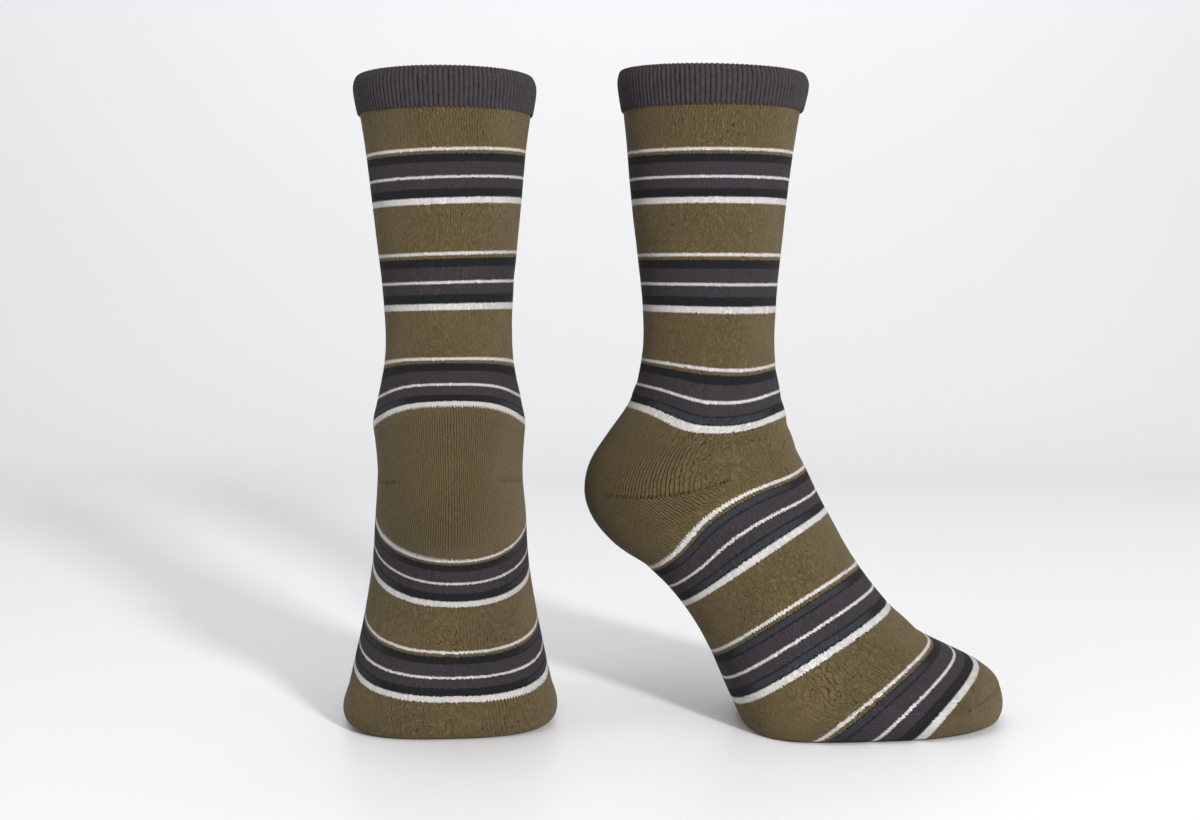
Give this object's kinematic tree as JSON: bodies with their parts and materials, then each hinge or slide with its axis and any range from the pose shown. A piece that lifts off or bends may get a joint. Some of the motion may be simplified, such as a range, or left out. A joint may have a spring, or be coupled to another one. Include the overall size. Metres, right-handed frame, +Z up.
{
  "type": "pair of socks",
  "caption": "Calf-length knitted socks with a ribbed flared cuff, turned heel and rounded toe, hollow and filled out as when worn.",
  "frame": {"origin": "on the leg axis of the side-on sock, inside its ribbed cuff, 11.9 mm below the rim, where the wearer's leg holds it", "axes": "+Z up along the leg, +X towards the toes of the side-on sock, +Y towards the toes of the other sock, turned out by 5.5 degrees"},
  "size_m": [0.3518, 0.2019, 0.3438],
  "materials": {
    "cuff_rib": "matt charcoal ribbed cotton knit",
    "body_knit": "matt olive fine cotton knit with black, grey and white stripes"
  },
  "bodies": {
    "root": {"right_cuff": "cuff_rib", "right_leg": "body_knit", "right_heel": "body_knit", "right_foot": "body_knit", "right_toe": "body_knit", "left_cuff": "cuff_rib", "left_leg": "body_knit", "left_heel": "body_knit", "left_foot": "body_knit", "left_toe": "body_knit"}
  },
  "joints": []
}
